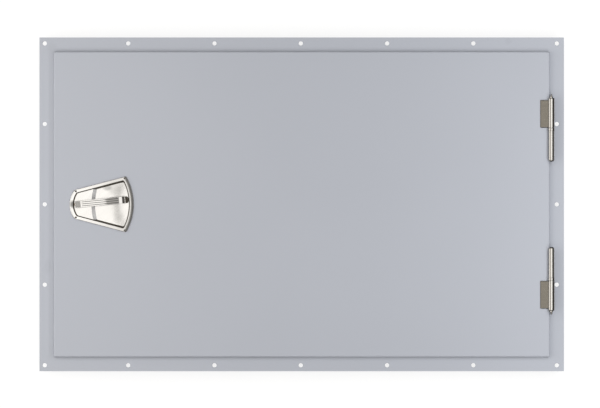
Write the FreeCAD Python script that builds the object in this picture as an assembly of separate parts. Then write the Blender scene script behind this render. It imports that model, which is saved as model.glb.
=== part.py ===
"""Steel deck hatch: a flanged frame with a coaming, and a hinged lid with a flush fan-shaped latch.

The hatch lies flat. +Z points out of the deck, +Y runs along the hinge line, and +X points from the
latch to the hinges. The origin is the centre of the corner bolt holes, on the flange's underside.
All sizes are in millimetres.
"""
import FreeCAD, Part
import math
import os

# Flange and its bolt holes
flange_length = 1100.0
flange_width = 700.0
flange_thickness = 3.0
hole_diameter = 9.0
hole_chamfer = 0.6
hole_inset_left = 11.0
hole_inset_right = 15.0
hole_inset_side = 12.5
hole_pitch_x = 181.0
hole_pitch_y = 168.5
inner_holes_x = 5
inner_holes_y = 3

# Lid sheet
lid_margin = 30.0
lid_rise = 10.0
lid_sheet = 2.5
lid_corner = 3.5
lid_edge_round = 3.0
skirt_gap = 1.5

# Coaming and seal
coaming_inset = 16.0
coaming_wall = 3.0
coaming_corner = 15.0
coaming_drop = 40.0
coaming_lip = 2.2
seal_gap = 0.3
channel_width = 16.0
channel_sheet = 1.0
channel_lip = 1.2
gasket_side_gap = 0.1

# Lid stiffeners
stiffener_crown = 28.0
stiffener_foot = 14.0
stiffener_spread = 8.0
stiffener_depth = 25.0
stiffener_sheet = 2.0
stiffener_end_gap = 7.0

# Hinges
hinge_inset = 163.0
hinge_axis_out = 3.0
hinge_face_gap = 0.5
frame_barrel = 12.4
lid_barrel = 13.4
ring_diameter = 13.8
frame_knuckle_length = 64.4
lid_knuckle_length = 62.6
ring_length = 6.5
ring_round = 0.6
ring_play = 0.3
pin_diameter = 8.0
pin_running_gap = 0.05
pin_end_wall = 8.0
knuckle_dome = 4.5
knuckle_shoulder = 2.4
web_thickness = 4.0
web_lid_gap = 1.4
web_end_step = 5.0
leaf_length = 58.0
leaf_reach = 23.0
leaf_thickness = 3.0
leaf_corner = 1.2
leaf_bevel = 1.0
nipple_bore = 5.0
nipple_stem_gap = 1.0
nipple_hex = 6.6
nipple_length = 7.4
nipple_hex_length = 2.6
nipple_neck = 3.2
nipple_ball = 4.4

# Fan-shaped dish of the latch, measured from the lever's hub
hub_inset = 51.0
pan_reach = 117.0
pan_wide_half = 58.6
pan_tail = 17.3
pan_tail_corner = 7.3
pan_tail_half = 29.8
pan_outer_corner = 2.5
pan_inner_corner = 4.0
pan_pad_thickness = 0.8
pan_pad_inset = 0.4
pan_wall = 1.8
pan_hole_gap = 1.0
rim_thickness = 2.4
rim_edge_round = 0.8
side_rim = 6.0
tail_rim = 6.5
wide_rim = 8.2
side_draft = 0.2
tail_draft = 0.25
wide_draft = 0.12
tail_fall_lip = 0.6
wide_fall_lip = 1.4
rim_fall = 1.7
rim_fall_sweep = 90.0
plateau_depth = 7.5
scoop_depth = 18.9
scoop_far_depth = 18.2
scoop_foot_depth = 16.5
scoop_shelf = 24.5
scoop_hollow_run = 40.0
scoop_centre = 160.0
scoop_edge_radius = 132.0
scoop_slope_run = 7.5

# Fasteners of the dish
pan_screw_end_share = 0.58
pan_screw_diameter = 2.5
pan_screw_head = 4.2
pan_screw_head_height = 1.2
pan_screw_seat = 1.4
pan_screw_bevel = 0.3
pan_screw_length = 8.0
pan_screw_gap = 0.2
pan_nut_flats = 5.0
pan_nut_height = 2.0

# Lever
lever_rest_angle = 5.5
lever_width = 15.0
lever_tip_width = 14.0
lever_start = 6.0
lever_bend = 45.0
lever_dip = 86.5
lever_crest = 93.0
lever_reach = 106.0
lever_thickness = 8.5
lever_dip_depth = 6.5
lever_crest_drop = 4.1
lever_tip_drop = 11.6
lever_nose = 2.6
lever_floor_gap = 0.3
lever_edge_round = 0.6
lever_back_round = 4.0
groove_count = 3
groove_width = 1.4
groove_depth = 1.0
groove_start = 8.0
groove_end_gap = 1.5
grip_start = 2.0
grip_depth = 0.7
grip_notch = 5.5
grip_notch_half = 0.9
hub_block_length = 11.5
hub_block_width = 13.0
hub_block_height = 2.9
hub_block_front = 0.9
hub_block_bevel = 0.5

# Spindle, bush and crank
spindle_diameter = 10.0
spindle_running_gap = 0.05
spindle_socket = 5.0
spindle_square = 7.0
spindle_thread = 6.0
bush_flange = 15.0
bush_flange_thickness = 1.2
bush_wall = 1.6
locknut_flats = 17.0
locknut_height = 2.5
crank_play = 0.3
crank_level = 19.0
crank_thickness = 4.0
crank_radius = 20.0
crank_hub = 18.0
crank_eye = 14.0
crank_pin_diameter = 8.0
crank_pin_head = 11.0
crank_pin_head_height = 1.5
crank_pin_end_gap = 1.0
crank_swing = 20.0
washer_diameter = 14.0
washer_thickness = 1.2
spindle_nut_flats = 10.0
spindle_nut_height = 5.0
thread_end = 1.5

# Latch bolt, its case and the keeper
bolt_width = 20.0
bolt_thickness = 8.0
bolt_crank_gap = 1.0
bolt_slot_gap = 0.35
bolt_tail = 30.0
bolt_nose_bevel = 2.5
bolt_guide_gap = 0.3
keeper_bolt_gap = 1.3
case_sheet = 2.5
case_half_width = 42.5
case_flange = 14.0
case_length = 45.5
case_wall_top = 15.0
case_stud_inset = 10.5
case_stud_diameter = 5.0
case_stud_hole_gap = 0.25
case_stud_length = 12.0
case_nut_flats = 8.0
case_nut_height = 4.0
keeper_reach = 10.5
keeper_sheet = 2.5
keeper_half_width = 16.0
keeper_ear = 16.0
keeper_height = 22.0
keeper_bolt_clearance = 0.5
keeper_side_clearance = 1.5
keeper_bend = 1.0
keeper_screw_diameter = 4.0
keeper_screw_head = 7.0
keeper_screw_head_height = 2.4
keeper_screw_end = 2.0
keeper_screw_gap = 0.2
keeper_nut_flats = 7.0
keeper_nut_height = 3.2

# Places worked out from the sizes above
centre_x = (hole_inset_right - hole_inset_left) / 2.0
flange_half_x = flange_length / 2.0
flange_half_y = flange_width / 2.0
corner_hole_x = flange_half_x - (hole_inset_left + hole_inset_right) / 2.0
corner_hole_y = flange_half_y - hole_inset_side
lid_half_x = flange_half_x - lid_margin
lid_half_y = flange_half_y - lid_margin
lid_top = flange_thickness + lid_rise
lid_under = lid_top - lid_sheet
coaming_half_x = lid_half_x - coaming_inset
coaming_half_y = lid_half_y - coaming_inset
coaming_top = flange_thickness + coaming_lip
seal_half_x = coaming_half_x - coaming_wall / 2.0
seal_half_y = coaming_half_y - coaming_wall / 2.0
seal_corner = coaming_corner - coaming_wall / 2.0
gasket_bottom = coaming_top + seal_gap
stiffener_pitch = lid_half_x / 2.0

hinge_centre = lid_half_y - hinge_inset
hinge_x = centre_x + lid_half_x + hinge_axis_out
hinge_z = lid_top + ring_diameter / 2.0 + hinge_face_gap
ring_inner_y = hinge_centre - ring_length / 2.0
ring_outer_y = hinge_centre + ring_length / 2.0
frame_knuckle_end = ring_inner_y - frame_knuckle_length
lid_knuckle_start = ring_outer_y + ring_play
lid_knuckle_end = lid_knuckle_start + lid_knuckle_length

hub_x = centre_x - lid_half_x + hub_inset
rim_base = lid_top + pan_pad_thickness
rim_top = rim_base + rim_thickness
plateau_z = lid_top - plateau_depth
lever_base = plateau_z + bush_flange_thickness + lever_floor_gap
lever_top = lever_base + lever_thickness
lever_tip_z = lever_top - lever_tip_drop
lever_foot = lever_tip_z - lever_nose
spindle_radius = spindle_diameter / 2.0
bush_radius = spindle_radius + spindle_running_gap + bush_wall
crank_top = lid_top - crank_level
crank_bottom = crank_top - crank_thickness
bolt_top = crank_bottom - bolt_crank_gap
bolt_bottom = bolt_top - bolt_thickness
crank_pin_radius = crank_pin_diameter / 2.0
pin_rise = crank_radius * (1.0 - math.cos(math.radians(crank_swing)))
bolt_y = -crank_radius + pin_rise / 2.0
coaming_inner_left = centre_x - coaming_half_x + coaming_wall
keeper_face = coaming_inner_left + keeper_reach
bolt_tip = keeper_face + keeper_bolt_gap
case_left = bolt_tip
case_right = case_left + case_length
case_floor = bolt_bottom - bolt_guide_gap
case_bottom = case_floor - case_sheet


def vec(x, y, z):
    return FreeCAD.Vector(x, y, z)


def block(x0, x1, y0, y1, z0, z1):
    return Part.makeBox(x1 - x0, y1 - y0, z1 - z0, vec(x0, y0, z0))


def post(x, y, z0, z1, diameter):
    """Upright round bar."""
    return Part.makeCylinder(diameter / 2.0, z1 - z0, vec(x, y, z0))


def barrel(y0, y1, diameter):
    """Round bar along the hinge line."""
    return Part.makeCylinder(diameter / 2.0, y1 - y0, vec(hinge_x, y0, hinge_z), vec(0, 1, 0))


def hexagon(x, y, z0, z1, flats, bore):
    """Hexagonal nut with a plain bore."""
    corner = flats / math.sqrt(3.0)
    points = []
    for step in range(7):
        turn = math.radians(60.0 * step)
        points.append(vec(x + corner * math.cos(turn), y + corner * math.sin(turn), z0))
    nut = Part.Face(Part.makePolygon(points)).extrude(vec(0, 0, z1 - z0))
    return nut.cut(post(x, y, z0, z1, bore))


def prism(points, along):
    """Closed polygon of (x, y, z) points, extruded by a vector."""
    corners = [vec(*point) for point in points]
    corners.append(corners[0])
    return Part.Face(Part.makePolygon(corners)).extrude(along)


def upright_edges(shape):
    """Straight edges that run along Z."""
    found = []
    for edge in shape.Edges:
        if len(edge.Vertexes) == 2:
            rise = edge.Vertexes[0].Point - edge.Vertexes[1].Point
            if abs(rise.z) > 0.99 * edge.Length:
                found.append(edge)
    return found


def edges_at_height(shape, z):
    """Edges that lie wholly at one height."""
    found = []
    for edge in shape.Edges:
        box = edge.BoundBox
        if abs(box.ZMin - z) < 0.001 and abs(box.ZMax - z) < 0.001:
            found.append(edge)
    return found


def rounded_plate(half_x, half_y, corner, z0, z1):
    """Plate centred on the lid, with rounded corners in plan."""
    plate = block(centre_x - half_x, centre_x + half_x, -half_y, half_y, z0, z1)
    return plate.makeFillet(corner, upright_edges(plate))


def seal_ring(outward, inward, z0, z1):
    """Ring that follows the coaming's centre line, from outward to inward of it."""
    outer = rounded_plate(seal_half_x + outward, seal_half_y + outward, seal_corner + outward, z0, z1)
    inner = rounded_plate(seal_half_x - inward, seal_half_y - inward, seal_corner - inward, z0, z1)
    return outer.cut(inner)


def bolt_hole_places():
    """Centres of the flange's holes: two corners, one long row and one short column at a time."""
    places = []
    for side in (-1, 1):
        places.append((-corner_hole_x, side * corner_hole_y))
        places.append((corner_hole_x, side * corner_hole_y))
        for step in range(inner_holes_x):
            across = (step - (inner_holes_x - 1) / 2.0) * hole_pitch_x
            places.append((across, side * corner_hole_y))
        for step in range(inner_holes_y):
            along = (step - (inner_holes_y - 1) / 2.0) * hole_pitch_y
            places.append((side * corner_hole_x, along))
    return places


def make_deck_flange():
    x0 = centre_x - flange_half_x
    x1 = centre_x + flange_half_x
    plate = block(x0, x1, -flange_half_y, flange_half_y, 0, flange_thickness)
    plate = plate.cut(rounded_plate(coaming_half_x, coaming_half_y, coaming_corner, 0, flange_thickness))
    radius = hole_diameter / 2.0
    drills = []
    for x, y in bolt_hole_places():
        drills.append(post(x, y, 0, flange_thickness, hole_diameter))
        sink_foot = vec(x, y, flange_thickness - hole_chamfer)
        drills.append(Part.makeCone(radius, radius + hole_chamfer, hole_chamfer, sink_foot))
    return plate.cut(Part.makeCompound(drills))


def make_coaming():
    """Welded neck whose top edge bites into the seal, drilled for the keeper."""
    half_wall = coaming_wall / 2.0
    ring = seal_ring(half_wall, half_wall, -coaming_drop, coaming_top)
    hole = keeper_screw_diameter + 2.0 * keeper_screw_gap
    outside = coaming_inner_left - coaming_wall
    drills = [keeper_bar(y, outside, coaming_inner_left, hole) for y in keeper_screw_rows()]
    return ring.cut(Part.makeCompound(drills))


def make_hinge_knuckle():
    """Frame-side barrel with a domed end, on an upright web welded to the flange."""
    body = barrel(frame_knuckle_end, ring_inner_y, frame_barrel)
    rims = [edge for edge in body.Edges if abs(edge.BoundBox.YMax - frame_knuckle_end) < 0.001]
    body = body.makeFillet(knuckle_dome, rims)
    web_x = centre_x + lid_half_x + web_lid_gap
    web_y0 = frame_knuckle_end + web_end_step
    web_y1 = ring_inner_y - web_end_step / 2.0
    web = block(web_x, web_x + web_thickness, web_y0, web_y1, flange_thickness, hinge_z)
    body = body.fuse(web).removeSplitter()
    return body.cut(barrel(frame_knuckle_end + pin_end_wall, ring_inner_y, pin_diameter))


def make_hinge_pin():
    pin_y0 = frame_knuckle_end + pin_end_wall
    pin_y1 = lid_knuckle_end - pin_end_wall - ring_play
    return barrel(pin_y0, pin_y1, pin_diameter)


def make_hinge_ring():
    ring = barrel(ring_inner_y, ring_outer_y, ring_diameter)
    ring = ring.makeChamfer(ring_round, [edge for edge in ring.Edges if len(edge.Vertexes) == 1])
    return ring.cut(barrel(ring_inner_y, ring_outer_y, pin_diameter))


def make_hinge_leaf():
    """Lid-side barrel with the leaf plate that lies on the lid."""
    body = barrel(lid_knuckle_start, lid_knuckle_end, lid_barrel)
    rims = [edge for edge in body.Edges if abs(edge.BoundBox.YMin - lid_knuckle_end) < 0.001]
    body = body.makeFillet(knuckle_shoulder, rims)
    leaf_x = hinge_x - leaf_reach
    leaf_y1 = lid_knuckle_start + leaf_length
    leaf = block(leaf_x, hinge_x, lid_knuckle_start, leaf_y1, lid_top, lid_top + leaf_thickness)
    outer_corners = [edge for edge in upright_edges(leaf) if edge.BoundBox.XMax < leaf_x + 0.001]
    leaf = leaf.makeFillet(leaf_corner, outer_corners)
    leaf_top = edges_at_height(leaf, lid_top + leaf_thickness)
    leaf = leaf.makeChamfer(leaf_bevel, [edge for edge in leaf_top if edge.BoundBox.XMin < hinge_x - 0.001])
    body = body.fuse(leaf).removeSplitter()
    bore = pin_diameter + 2.0 * pin_running_gap
    body = body.cut(barrel(lid_knuckle_start, lid_knuckle_end - pin_end_wall, bore))
    return body.cut(barrel(lid_knuckle_end - pin_end_wall, lid_knuckle_end, nipple_bore))


def make_grease_nipple():
    """Turned nipple: threaded stem, collar, cone and ball end, along the hinge line."""
    stem = nipple_bore / 2.0
    base = nipple_hex / 2.0
    neck = nipple_neck / 2.0
    ball = nipple_ball / 2.0
    start = lid_knuckle_end - pin_end_wall + nipple_stem_gap
    collar = lid_knuckle_end + nipple_hex_length
    tip = lid_knuckle_end + nipple_length
    outline = [
        (0, start), (stem, start), (stem, lid_knuckle_end), (base, lid_knuckle_end),
        (base, collar), (neck, tip - 1.6 * ball), (ball, tip - 0.9 * ball),
        (0.55 * ball, tip), (0, tip),
    ]
    points = [vec(hinge_x + radius, y, hinge_z) for radius, y in outline]
    points.append(points[0])
    face = Part.Face(Part.makePolygon(points))
    return face.revolve(vec(hinge_x, 0, hinge_z), vec(0, 1, 0), 360)


def make_keeper():
    """Folded strap on the coaming's inner face, with a window for the latch bolt."""
    x0 = coaming_inner_left
    x1 = x0 + keeper_sheet
    x2 = keeper_face - keeper_sheet
    x3 = keeper_face
    leg = keeper_half_width
    ear = keeper_half_width + keeper_ear
    z1 = bolt_top + keeper_bolt_clearance + (keeper_height - bolt_thickness) / 2.0
    z0 = z1 - keeper_height
    outline = [
        (x0, -ear), (x1, -ear), (x1, -leg), (x3, -leg), (x3, leg), (x1, leg), (x1, ear), (x0, ear),
        (x0, leg - keeper_sheet), (x2, leg - keeper_sheet),
        (x2, keeper_sheet - leg), (x0, keeper_sheet - leg),
    ]
    strap = prism([(x, bolt_y + y, z0) for x, y in outline], vec(0, 0, keeper_height))
    outer_bends = [edge for edge in upright_edges(strap) if edge.BoundBox.XMin > x3 - 0.001]
    strap = strap.makeFillet(keeper_bend, outer_bends)
    half_window = bolt_width / 2.0 + keeper_side_clearance
    window = block(
        x2, x3, bolt_y - half_window, bolt_y + half_window,
        bolt_bottom - keeper_side_clearance, bolt_top + keeper_bolt_clearance,
    )
    hole = keeper_screw_diameter + 2.0 * keeper_screw_gap
    drills = [keeper_bar(y, x0, x1, hole) for y in keeper_screw_rows()]
    return strap.cut(window).cut(Part.makeCompound(drills))


def keeper_screw_rows():
    offset = keeper_half_width + keeper_ear / 2.0
    return [bolt_y - offset, bolt_y + offset]


def keeper_bar(y, x0, x1, diameter):
    """Round bar along X at the height of the keeper's screws."""
    z = (bolt_top + bolt_bottom) / 2.0
    return Part.makeCylinder(diameter / 2.0, x1 - x0, vec(x0, y, z), vec(1, 0, 0))


def make_keeper_screws():
    outside = coaming_inner_left - coaming_wall - keeper_nut_height - keeper_screw_end
    seat = coaming_inner_left + keeper_sheet
    screws = []
    for y in keeper_screw_rows():
        head = keeper_bar(y, seat, seat + keeper_screw_head_height, keeper_screw_head)
        rims = [edge for edge in head.Edges if edge.BoundBox.XMin > seat + keeper_screw_head_height - 0.001]
        head = head.makeChamfer(keeper_screw_head_height / 3.0, rims)
        screws.append(head.fuse(keeper_bar(y, outside, seat, keeper_screw_diameter)).removeSplitter())
    return Part.makeCompound(screws)


def make_keeper_nuts():
    nuts = []
    z = (bolt_top + bolt_bottom) / 2.0
    face = coaming_inner_left - coaming_wall
    for y in keeper_screw_rows():
        nut = hexagon(0, 0, 0, keeper_nut_height, keeper_nut_flats, keeper_screw_diameter)
        nut.rotate(vec(0, 0, 0), vec(0, 1, 0), -90)
        nut.translate(vec(face, y, z))
        nuts.append(nut)
    return Part.makeCompound(nuts)


def fan_corner(side, end, wide):
    """Corner of the dish's outline on the +Y side, from the hub, its side and end moved inwards."""
    wide_x = math.sqrt(pan_reach ** 2 - pan_wide_half ** 2)
    tail = vec(-pan_tail_corner, pan_tail_half, 0)
    run = vec(wide_x, pan_wide_half, 0) - tail
    run.normalize()
    start = tail + vec(run.y, -run.x, 0) * side
    if wide:
        middle = vec(0, 0, 0)
        radius = pan_reach - end
        way = 1.0
    else:
        middle = vec(tail_arc_radius() - pan_tail, 0, 0)
        radius = tail_arc_radius() - end
        way = -1.0
    gap = start - middle
    half_b = gap.dot(run)
    reach = way * math.sqrt(half_b ** 2 - gap.dot(gap) + radius ** 2) - half_b
    return start + run * reach


def tail_arc_radius():
    """Radius of the arc through the narrow end's two corners and its middle."""
    bulge = pan_tail - pan_tail_corner
    return (pan_tail_half ** 2 + bulge ** 2) / (2.0 * bulge)


def fan_outline(insets, z):
    """Fan-shaped outline at one height, its sides, narrow end and wide end moved inwards."""
    side, tail_end, wide_end = insets
    tail = fan_corner(side, tail_end, False)
    wide = fan_corner(side, wide_end, True)
    tail_low = vec(tail.x, -tail.y, 0)
    wide_low = vec(wide.x, -wide.y, 0)
    outline = Part.Wire([
        Part.LineSegment(tail, wide).toShape(),
        Part.Arc(wide, vec(pan_reach - wide_end, 0, 0), wide_low).toShape(),
        Part.LineSegment(wide_low, tail_low).toShape(),
        Part.Arc(tail_low, vec(tail_end - pan_tail, 0, 0), tail).toShape(),
    ])
    outline.translate(vec(hub_x, 0, z))
    return outline


def fan_prism(insets, corner, z0, z1):
    """Fan-shaped block with upright walls."""
    fan = Part.Face(fan_outline(insets, z0)).extrude(vec(0, 0, z1 - z0))
    return fan.makeFillet(corner, upright_edges(fan))


def well_insets(drop, grow):
    """Where the hollow's walls stand this far below the rim, or with grow their outer faces."""
    side = side_rim + side_draft * drop - grow
    tail_end = tail_rim + tail_draft * drop - grow
    wide_end = wide_rim + wide_draft * drop - grow
    return side, tail_end, wide_end


def dish_well(grow):
    """Drafted well of the dish, down to the scoop's deepest point."""
    floor = lid_top - scoop_depth - grow
    top = fan_outline(well_insets(0.0, grow), rim_top)
    low = fan_outline(well_insets(rim_top - floor, grow), floor)
    well = Part.makeLoft([top, low], True, True)
    corners = [edge for edge in well.Edges if edge.BoundBox.ZLength > 0.9 * (rim_top - floor)]
    return well.makeFillet(pan_inner_corner + grow, corners)


def dish_floor(grow):
    """Everything above the dish's floor: the plateau, and a stepped scoop turned about its far axis."""
    deepest = lid_top - scoop_depth - grow
    rim_radius = scoop_edge_radius + grow
    foot_radius = rim_radius - scoop_slope_run
    far_radius = scoop_centre - pan_reach
    shelf_radius = foot_radius - scoop_shelf
    low_radius = shelf_radius - scoop_hollow_run
    foot = vec(foot_radius, 0, lid_top - scoop_foot_depth - grow)
    shelf_end = vec(shelf_radius, 0, foot.z)
    low = vec(low_radius, 0, deepest)
    far = vec(far_radius, 0, lid_top - scoop_far_depth - grow)
    hollow = Part.BezierCurve()
    hollow.setPoles([
        shelf_end,
        vec(shelf_radius - scoop_hollow_run / 3.0, 0, foot.z),
        vec(low_radius + scoop_hollow_run / 3.0, 0, deepest),
        low,
    ])
    brow = vec(rim_radius, 0, plateau_z - grow)
    top_rim = vec(rim_radius, 0, rim_top)
    top_axis = vec(0, 0, rim_top)
    low_axis = vec(0, 0, far.z)
    edges = [
        Part.LineSegment(top_axis, top_rim).toShape(),
        Part.LineSegment(top_rim, brow).toShape(),
        Part.LineSegment(brow, foot).toShape(),
        Part.LineSegment(foot, shelf_end).toShape(),
        hollow.toShape(),
        Part.LineSegment(low, far).toShape(),
        Part.LineSegment(far, low_axis).toShape(),
        Part.LineSegment(low_axis, top_axis).toShape(),
    ]
    scoop = Part.Face(Part.Wire(edges)).revolve(vec(0, 0, 0), vec(0, 0, 1), 360)
    scoop.translate(vec(hub_x + scoop_centre, 0, 0))
    level = block(
        hub_x - pan_tail, hub_x + pan_reach, -pan_wide_half, pan_wide_half, plateau_z - grow, rim_top,
    )
    return level.fuse(scoop)


def dish_form(grow):
    """Hollow of the dish, or with grow the outside of its walls."""
    return dish_well(grow).common(dish_floor(grow))


def pan_screw_places():
    """The dish's four screws, in the corners of its rim."""
    places = []
    for wide, end in ((False, tail_rim), (True, wide_rim)):
        spot = fan_corner(side_rim / 2.0, pan_screw_end_share * end, wide)
        places.append((hub_x + spot.x, spot.y))
        places.append((hub_x + spot.x, -spot.y))
    return places


def pan_screw_drills(z0, z1, diameter):
    return Part.makeCompound([post(x, y, z0, z1, diameter) for x, y in pan_screw_places()])


def rim_fall_cutter(middle_x, radius, width, way):
    """Cuts the rim's end to a round fall towards its outer edge, turned about the end arc's centre."""
    inner = radius - width
    bow = (width ** 2 + rim_fall ** 2) / (2.0 * rim_fall)
    half_turn = math.asin(width / bow) / 2.0
    start = vec(way * inner, 0, rim_top)
    halfway_x = inner + bow * math.sin(half_turn)
    halfway = vec(way * halfway_x, 0, rim_top - bow * (1.0 - math.cos(half_turn)))
    end = vec(way * radius, 0, rim_top - rim_fall)
    end_above = vec(way * radius, 0, rim_top + 1.0)
    start_above = vec(way * inner, 0, rim_top + 1.0)
    edges = [
        Part.Arc(start, halfway, end).toShape(),
        Part.LineSegment(end, end_above).toShape(),
        Part.LineSegment(end_above, start_above).toShape(),
        Part.LineSegment(start_above, start).toShape(),
    ]
    face = Part.Face(Part.Wire(edges))
    face.rotate(vec(0, 0, 0), vec(0, 0, 1), -rim_fall_sweep / 2.0)
    cutter = face.revolve(vec(0, 0, 0), vec(0, 0, 1), rim_fall_sweep)
    cutter.translate(vec(middle_x, 0, 0))
    return cutter


def make_latch_pan():
    """Cast dish with a flat rim along its sides and a falling rim round its ends."""
    pan = fan_prism((0.0, 0.0, 0.0), pan_outer_corner, rim_base, rim_top)
    long_edges = [edge for edge in edges_at_height(pan, rim_top) if edge.BoundBox.XLength > pan_reach / 2.0]
    pan = pan.makeFillet(rim_edge_round, long_edges)
    tail_middle = hub_x + tail_arc_radius() - pan_tail
    pan = pan.cut(rim_fall_cutter(tail_middle, tail_arc_radius(), tail_rim - tail_fall_lip, -1.0))
    pan = pan.cut(rim_fall_cutter(hub_x, pan_reach, wide_rim - wide_fall_lip, 1.0))
    pan = pan.fuse(dish_form(pan_wall)).cut(dish_form(0.0))
    seat = rim_top - pan_screw_seat
    pan = pan.cut(pan_screw_drills(seat, rim_top, pan_screw_head + 2.0 * pan_screw_gap))
    pan = pan.cut(pan_screw_drills(rim_base, seat, pan_screw_diameter + 2.0 * pan_screw_gap))
    return pan.cut(post(hub_x, 0, plateau_z - pan_wall, plateau_z, 2.0 * bush_radius))


def lid_opening_insets():
    """How far the lid's cut-out lies inside the dish's outer outline, all round."""
    room = pan_wall + pan_hole_gap
    return side_rim - room, tail_rim - room, wide_rim - room


def make_pan_pad():
    """Thin rubber pad between the dish's rim and the lid."""
    insets = (pan_pad_inset, pan_pad_inset, pan_pad_inset)
    pad = fan_prism(insets, pan_outer_corner, lid_top, rim_base)
    pad = pad.cut(fan_prism(lid_opening_insets(), pan_inner_corner, lid_top, rim_base))
    return pad.cut(pan_screw_drills(lid_top, rim_base, pan_screw_diameter + 2.0 * pan_screw_gap))


def make_pan_screws():
    seat = rim_top - pan_screw_seat
    crown = seat + pan_screw_head_height
    screws = []
    for x, y in pan_screw_places():
        head = post(x, y, seat, crown, pan_screw_head)
        head = head.makeChamfer(pan_screw_bevel, edges_at_height(head, crown))
        shank = post(x, y, seat - pan_screw_length, seat, pan_screw_diameter)
        screws.append(head.fuse(shank).removeSplitter())
    return Part.makeCompound(screws)


def make_pan_nuts():
    nuts = []
    for x, y in pan_screw_places():
        nuts.append(hexagon(x, y, lid_under - pan_nut_height, lid_under, pan_nut_flats, pan_screw_diameter))
    return Part.makeCompound(nuts)


def make_lid_panel():
    """Folded lid: flat top, short skirt and the cut-out for the dish."""
    skirt_z = flange_thickness + skirt_gap
    lid = rounded_plate(lid_half_x, lid_half_y, lid_corner, skirt_z, lid_top)
    lid = lid.makeFillet(lid_edge_round, edges_at_height(lid, lid_top))
    inner_corner = lid_corner - lid_sheet
    hollow = rounded_plate(lid_half_x - lid_sheet, lid_half_y - lid_sheet, inner_corner, skirt_z, lid_under)
    lid = lid.cut(hollow)
    lid = lid.cut(fan_prism(lid_opening_insets(), pan_inner_corner, lid_under, lid_top))
    return lid.cut(pan_screw_drills(lid_under, lid_top, pan_screw_diameter + 2.0 * pan_screw_gap))


def make_gasket_channel():
    """U-shaped strip under the lid that holds the seal."""
    half = channel_width / 2.0
    foot = gasket_bottom + channel_lip
    channel = seal_ring(half, half, foot, lid_under)
    pocket = seal_ring(half - channel_sheet, half - channel_sheet, foot, lid_under - channel_sheet)
    return channel.cut(pocket)


def make_gasket():
    half = channel_width / 2.0 - channel_sheet - gasket_side_gap
    return seal_ring(half, half, gasket_bottom, lid_under - channel_sheet)


def make_stiffener(x):
    """Hat section across the lid, welded by its feet."""
    half = seal_half_y - channel_width / 2.0 - stiffener_end_gap
    sheet = stiffener_sheet
    crown = stiffener_crown / 2.0
    shoulder = crown + stiffener_spread
    foot = shoulder + stiffener_foot
    top = lid_under
    low = lid_under - stiffener_depth
    outline = [
        (-foot, top), (sheet - shoulder, top), (sheet - crown, low + sheet), (crown - sheet, low + sheet),
        (shoulder - sheet, top), (foot, top), (foot, top - sheet), (shoulder, top - sheet),
        (crown, low), (-crown, low), (-shoulder, top - sheet), (-foot, top - sheet),
    ]
    return prism([(x + across, -half, z) for across, z in outline], vec(0, 2.0 * half, 0))


def make_spindle_bush():
    """Flanged bush that carries the spindle through the dish's floor."""
    low = crank_top + crank_play
    top = plateau_z + bush_flange_thickness
    bush = post(hub_x, 0, low, top, 2.0 * bush_radius)
    bush = bush.fuse(post(hub_x, 0, plateau_z, top, bush_flange)).removeSplitter()
    return bush.cut(post(hub_x, 0, low, top, spindle_diameter + 2.0 * spindle_running_gap))


def make_bush_locknut():
    top = plateau_z - pan_wall
    return hexagon(hub_x, 0, top - locknut_height, top, locknut_flats, 2.0 * bush_radius)


def turn_to_rest(shape):
    """Turn a piece of the lever group from the dish's centre line to where the lever stands."""
    shape.rotate(vec(hub_x, 0, 0), vec(0, 0, 1), lever_rest_angle)
    return shape


def lever_fall(x):
    """How far the lever's long fall lies below its flat top at a place along it."""
    run = lever_dip - lever_bend
    bow = (run ** 2 + lever_dip_depth ** 2) / (2.0 * lever_dip_depth)
    return bow - math.sqrt(bow ** 2 - (x - hub_x - lever_bend) ** 2)


def lever_tip_slope(x):
    """Height of the lever's straight slope from its crest to its nose."""
    crest = hub_x + lever_crest
    run = lever_reach - lever_nose / 2.0 - lever_crest
    return lever_top - lever_crest_drop - (lever_tip_drop - lever_crest_drop) * (x - crest) / run


def lever_side_face(y):
    """The lever seen from the side: flat, falling in a bow, with a crest before a sloping tip."""
    start = hub_x - lever_start
    bend = hub_x + lever_bend
    dip = hub_x + lever_dip
    crest = hub_x + lever_crest
    tip = hub_x + lever_reach
    halfway = (bend + dip) / 2.0
    nose_x = tip - lever_nose / 2.0
    low_back = vec(start, y, lever_base)
    top_back = vec(start, y, lever_top)
    top_bend = vec(bend, y, lever_top)
    top_halfway = vec(halfway, y, lever_top - lever_fall(halfway))
    top_dip = vec(dip, y, lever_top - lever_dip_depth)
    top_crest = vec(crest, y, lever_top - lever_crest_drop)
    nose_top = vec(nose_x, y, lever_tip_z)
    nose = vec(tip, y, (lever_tip_z + lever_foot) / 2.0)
    nose_foot = vec(nose_x, y, lever_foot)
    chin = vec((crest + tip) / 2.0, y, lever_foot)
    low_bend = vec(bend, y, lever_base)
    edges = [
        Part.LineSegment(low_back, top_back).toShape(),
        Part.LineSegment(top_back, top_bend).toShape(),
        Part.Arc(top_bend, top_halfway, top_dip).toShape(),
        Part.LineSegment(top_dip, top_crest).toShape(),
        Part.LineSegment(top_crest, nose_top).toShape(),
        Part.Arc(nose_top, nose, nose_foot).toShape(),
        Part.LineSegment(nose_foot, chin).toShape(),
        Part.LineSegment(chin, low_bend).toShape(),
        Part.LineSegment(low_bend, low_back).toShape(),
    ]
    return Part.Face(Part.Wire(edges))


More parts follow.
